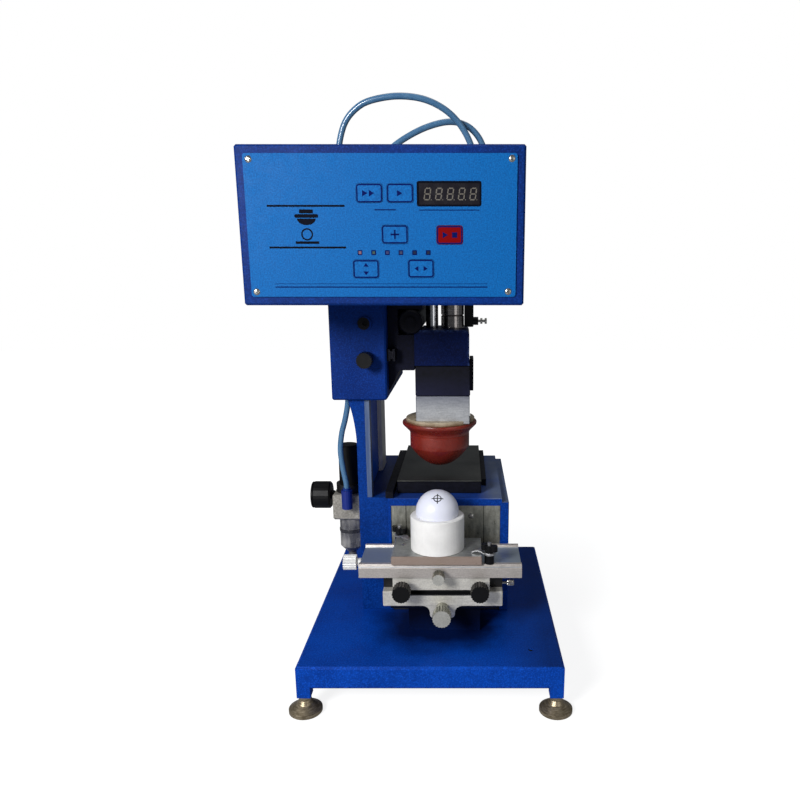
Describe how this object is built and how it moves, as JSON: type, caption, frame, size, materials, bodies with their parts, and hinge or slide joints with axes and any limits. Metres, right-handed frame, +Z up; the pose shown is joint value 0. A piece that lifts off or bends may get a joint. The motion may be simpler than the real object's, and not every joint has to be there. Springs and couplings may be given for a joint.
{
  "type": "pad printing machine",
  "caption": "Bench-top pneumatic pad printer with a column-mounted head, control box, silicone pad on a horizontal slide, etched-plate table and an adjustable work table.",
  "frame": {"origin": "middle of the machine's footprint on the bench, under the feet", "axes": "+Z up, -Y towards the operator, +X to the operator's right"},
  "size_m": [0.2852, 0.3244, 0.574],
  "materials": {
    "blue_paint": "satin royal-blue powder coat with a fine speckle",
    "box_blue": "satin blue powder coat, a little darker",
    "panel_blue": "printed polyester membrane, satin",
    "key_blue": "printed membrane key with a dark outline",
    "key_red": "printed red membrane key",
    "display_glass": "smoked display window",
    "aluminium": "milled aluminium, bright",
    "steel_dark": "dark brushed steel with fine polishing lines",
    "steel_bright": "bright turned steel",
    "chrome": "hard-chromed rod",
    "black_oxide": "black oxide, satin",
    "black_plastic": "black plastic, satin",
    "nylon": "white nylon, turned, satin",
    "ball_white": "white, slightly bluish, smooth",
    "silicone": "red-brown silicone, slightly glossy, on a cream bonded base",
    "zinc": "silver-beige die casting",
    "bowl_clear": "translucent polycarbonate bowl",
    "hose_blue": "light blue polyurethane tube",
    "foot_metal": "zinc-plated steel, worn"
  },
  "bodies": {
    "frame": {"base_plate": "blue_paint", "table_body": "blue_paint", "table_front_plate": "aluminium", "plate_frame": "black_oxide", "plate_bed": "black_oxide", "cliche_plate": "steel_dark", "column": "blue_paint", "table_stand": "blue_paint", "lower_slide": "steel_dark", "regulator_body": "zinc", "regulator_bowl": "bowl_clear", "gauge": "black_plastic", "supply_hose": "hose_blue"},
    "y_table": {"middle_slide": "aluminium"},
    "x_table": {"top_slide": "aluminium", "jig_plate": "aluminium", "nest": "nylon", "clamp_left": "chrome", "clamp_right": "chrome"},
    "head": {"head_housing": "blue_paint", "control_box": "box_blue", "box_back_cover": "box_blue", "front_panel": "panel_blue", "display_window": "display_glass", "slide_rail": "steel_bright", "travel_rod": "chrome", "valve_manifold": "aluminium", "hose_a": "hose_blue", "hose_b": "hose_blue"},
    "carriage": {"slide_arm": "black_oxide", "pad_bracket": "blue_paint", "travel_cylinder": "black_oxide", "pad_cylinder": "steel_bright", "flow_valve": "black_plastic"},
    "pad": {"guide_rod": "chrome", "pad_holder": "black_oxide", "pad_spacer": "aluminium", "silicone_pad": "silicone"},
    "foot_front_left": {"foot_front_left": "foot_metal"},
    "foot_front_right": {"foot_front_right": "foot_metal"},
    "foot_rear_left": {"foot_rear_left": "foot_metal"},
    "foot_rear_right": {"foot_rear_right": "foot_metal"},
    "regulator_knob": {"regulator_knob": "black_plastic"},
    "y_knob": {"y_knob": "steel_bright"},
    "lock_knob_left": {"lock_knob_left": "black_plastic"},
    "lock_knob_right": {"lock_knob_right": "black_plastic"},
    "x_knob": {"x_knob": "steel_bright"},
    "top_clamp_knob": {"top_clamp_knob": "steel_bright"},
    "thumb_nut_left": {"thumb_nut_left": "black_plastic"},
    "thumb_nut_right": {"thumb_nut_right": "black_plastic"},
    "sample_ball": {"sample_ball": "ball_white"},
    "head_lock_knob": {"head_lock_knob": "black_plastic"},
    "power_switch": {"power_switch": "black_plastic"},
    "flow_screw": {"flow_screw": "steel_bright"},
    "key_top_left": {"key_top_left": "key_blue"},
    "key_top_right": {"key_top_right": "key_blue"},
    "key_middle": {"key_middle": "key_blue"},
    "key_start_stop": {"key_start_stop": "key_red"},
    "key_bottom_left": {"key_bottom_left": "key_blue"},
    "key_bottom_right": {"key_bottom_right": "key_blue"}
  },
  "joints": [
    {"name": "foot_front_left_turn", "type": "hinge", "parent": "frame", "child": "foot_front_left", "pos_m": [-0.1133, -0.1462, 0.01], "axis": [0, 0, 1], "range_deg": [-180, 180]},
    {"name": "foot_front_right_turn", "type": "hinge", "parent": "frame", "child": "foot_front_right", "pos_m": [0.1266, -0.1462, 0.01], "axis": [0, 0, 1], "range_deg": [-180, 180]},
    {"name": "foot_rear_left_turn", "type": "hinge", "parent": "frame", "child": "foot_rear_left", "pos_m": [-0.1133, 0.1462, 0.01], "axis": [0, 0, 1], "range_deg": [-180, 180]},
    {"name": "foot_rear_right_turn", "type": "hinge", "parent": "frame", "child": "foot_rear_right", "pos_m": [0.1266, 0.1462, 0.01], "axis": [0, 0, 1], "range_deg": [-180, 180]},
    {"name": "regulator_knob_turn", "type": "hinge", "parent": "frame", "child": "regulator_knob", "pos_m": [-0.0904, 0.023, 0.2], "axis": [0, 0, 1], "range_deg": [-540, 540]},
    {"name": "y_feed", "type": "slide", "parent": "frame", "child": "y_table", "axis": [0, -1, 0], "range_m": [-0.003, 0.012]},
    {"name": "y_knob_turn", "type": "hinge", "parent": "frame", "child": "y_knob", "pos_m": [0.0169, -0.103, 0.084], "axis": [0, -1, 0], "range_deg": [-540, 2160]},
    {"name": "lock_knob_left_turn", "type": "hinge", "parent": "y_table", "child": "lock_knob_left", "pos_m": [-0.0221, -0.103, 0.1077], "axis": [0, -1, 0], "range_deg": [-180, 0]},
    {"name": "lock_knob_right_turn", "type": "hinge", "parent": "y_table", "child": "lock_knob_right", "pos_m": [0.0539, -0.103, 0.1077], "axis": [0, -1, 0], "range_deg": [-180, 0]},
    {"name": "x_feed", "type": "slide", "parent": "y_table", "child": "x_table", "axis": [1, 0, 0], "range_m": [-0.012, 0.012]},
    {"name": "x_knob_turn", "type": "hinge", "parent": "x_table", "child": "x_knob", "pos_m": [-0.0731, -0.077, 0.124], "axis": [-1, 0, 0], "range_deg": [-2160, 2160]},
    {"name": "top_clamp_knob_turn", "type": "hinge", "parent": "x_table", "child": "top_clamp_knob", "pos_m": [0.0139, -0.108, 0.122], "axis": [0, -1, 0], "range_deg": [-180, 0]},
    {"name": "thumb_nut_left_turn", "type": "hinge", "parent": "x_table", "child": "thumb_nut_left", "pos_m": [-0.0291, -0.0447, 0.145], "axis": [0, 0, 1], "range_deg": [-180, 180]},
    {"name": "thumb_nut_right_turn", "type": "hinge", "parent": "x_table", "child": "thumb_nut_right", "pos_m": [0.0634, -0.095, 0.145], "axis": [0, 0, 1], "range_deg": [-180, 180]},
    {"name": "ball_lift", "type": "slide", "parent": "x_table", "child": "sample_ball", "axis": [0, 0, 1], "range_m": [0, 0.03]},
    {"name": "head_height", "type": "slide", "parent": "frame", "child": "head", "axis": [0, 0, 1], "range_m": [-0.01, 0.04], "deforming": ["supply_hose"]},
    {"name": "head_lock_knob_turn", "type": "hinge", "parent": "head", "child": "head_lock_knob", "pos_m": [-0.0591, -0.053, 0.325], "axis": [0, -1, 0], "range_deg": [0, 360]},
    {"name": "key_top_left_press", "type": "slide", "parent": "head", "child": "key_top_left", "axis": [0, 1, 0], "range_m": [0, 0.0005], "stiffness_N_per_m": 400, "springref_m": -0.003},
    {"name": "key_top_right_press", "type": "slide", "parent": "head", "child": "key_top_right", "axis": [0, 1, 0], "range_m": [0, 0.0005], "stiffness_N_per_m": 400, "springref_m": -0.003},
    {"name": "key_middle_press", "type": "slide", "parent": "head", "child": "key_middle", "axis": [0, 1, 0], "range_m": [0, 0.0005], "stiffness_N_per_m": 400, "springref_m": -0.003},
    {"name": "key_start_stop_press", "type": "slide", "parent": "head", "child": "key_start_stop", "axis": [0, 1, 0], "range_m": [0, 0.0005], "stiffness_N_per_m": 400, "springref_m": -0.003},
    {"name": "key_bottom_left_press", "type": "slide", "parent": "head", "child": "key_bottom_left", "axis": [0, 1, 0], "range_m": [0, 0.0005], "stiffness_N_per_m": 400, "springref_m": -0.003},
    {"name": "key_bottom_right_press", "type": "slide", "parent": "head", "child": "key_bottom_right", "axis": [0, 1, 0], "range_m": [0, 0.0005], "stiffness_N_per_m": 400, "springref_m": -0.003},
    {"name": "power_switch_rock", "type": "hinge", "parent": "head", "child": "power_switch", "pos_m": [-0.1161, -0.0943, 0.42], "axis": [1, 0, 0], "range_deg": [0, 16]},
    {"name": "carriage_travel", "type": "slide", "parent": "head", "child": "carriage", "axis": [0, -1, 0], "range_m": [0, 0.0873], "deforming": ["hose_a", "hose_b"]},
    {"name": "flow_screw_turn", "type": "hinge", "parent": "carriage", "child": "flow_screw", "pos_m": [0.0569, 0.011, 0.359], "axis": [1, 0, 0], "range_deg": [-720, 720]},
    {"name": "pad_stroke", "type": "slide", "parent": "carriage", "child": "pad", "axis": [0, 0, -1], "range_m": [0, 0.01]}
  ],
  "couplings": [
    {"joint": "y_knob_turn", "follows": "y_feed", "rad_per_m": 3141.6},
    {"joint": "x_knob_turn", "follows": "x_feed", "rad_per_m": -3141.6}
  ]
}
